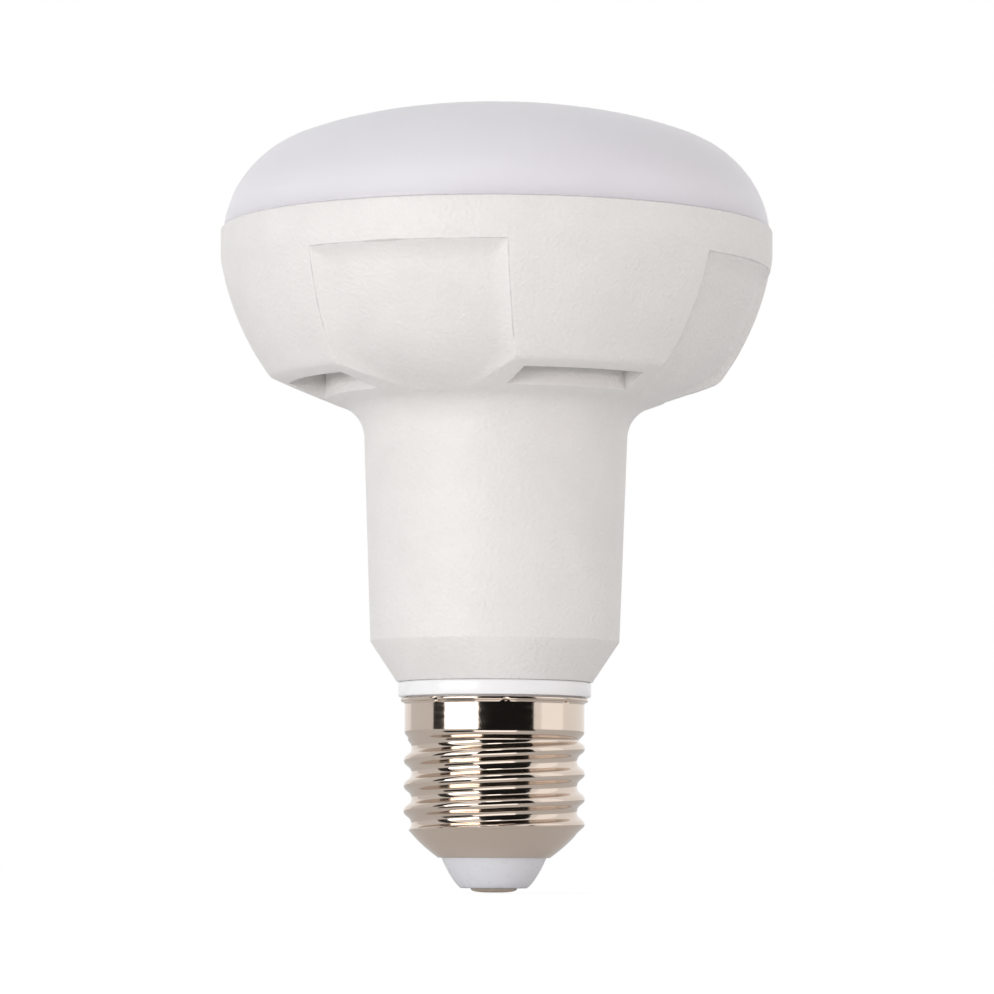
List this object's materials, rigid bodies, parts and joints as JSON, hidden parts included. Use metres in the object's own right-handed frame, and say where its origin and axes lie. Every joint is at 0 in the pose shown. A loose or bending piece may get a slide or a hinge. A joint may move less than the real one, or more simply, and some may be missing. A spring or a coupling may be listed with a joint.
{
  "type": "reflector bulb",
  "caption": "Reflector lamp: a milky diffuser dome over a white moulded housing with recessed panels and air vents, on a screw cap with a centre contact.",
  "frame": {"origin": "tip of the centre contact, on the lamp's axis, which is the lowest point", "axes": "+Z along the lamp's axis from the centre contact to the top of the dome; X and Y through the middles of the vents"},
  "size_m": [0.08, 0.08, 0.1135],
  "materials": {
    "diffuser": "satin, milky",
    "housing_white": "matte, fine orange peel",
    "collar_white": "smooth",
    "plated_cap": "nickel plated, bright",
    "insulator_grey": "smooth",
    "contact_metal": "tinned, dull",
    "aluminium_plate": "brushed",
    "light_board": "white solder mask",
    "chip_yellow": "clear over yellow phosphor",
    "screw_steel": "zinc plated",
    "connector_white": "matte",
    "lead_red": "smooth insulation",
    "lead_black": "smooth insulation",
    "sleeve_white": "matte",
    "board_green": "solder mask",
    "ferrite_grey": "matte, gritty",
    "tape_yellow": "polyester tape",
    "capacitor_black": "printed sleeve, left plain",
    "film_red": "dipped resin",
    "varistor_blue": "dipped resin",
    "package_black": "matte moulding",
    "coil_copper": "enamelled copper wire",
    "resistor_green": "dipped cement",
    "bare_wire": "tinned"
  },
  "bodies": {
    "root": {"diffuser_dome": "diffuser", "housing": "housing_white", "heat_spreader": "aluminium_plate", "led_board": "light_board", "led_chips": "chip_yellow", "board_screws": "screw_steel", "lead_connector": "connector_white", "positive_lead": "lead_red", "negative_lead": "lead_black", "driver_sleeve": "sleeve_white", "driver_board": "board_green", "transformer_core": "ferrite_grey", "transformer_bobbin": "tape_yellow", "input_capacitor": "capacitor_black", "output_capacitor": "capacitor_black", "varistor": "varistor_blue", "bridge_rectifier": "package_black", "controller_chip": "package_black", "film_capacitor": "film_red", "filter_choke": "coil_copper", "fuse_resistor": "resistor_green", "cap_collar": "collar_white", "cap_shell": "plated_cap", "cap_insulator": "insulator_grey", "centre_contact": "contact_metal", "live_lead": "bare_wire", "neutral_lead": "bare_wire"}
  },
  "joints": []
}
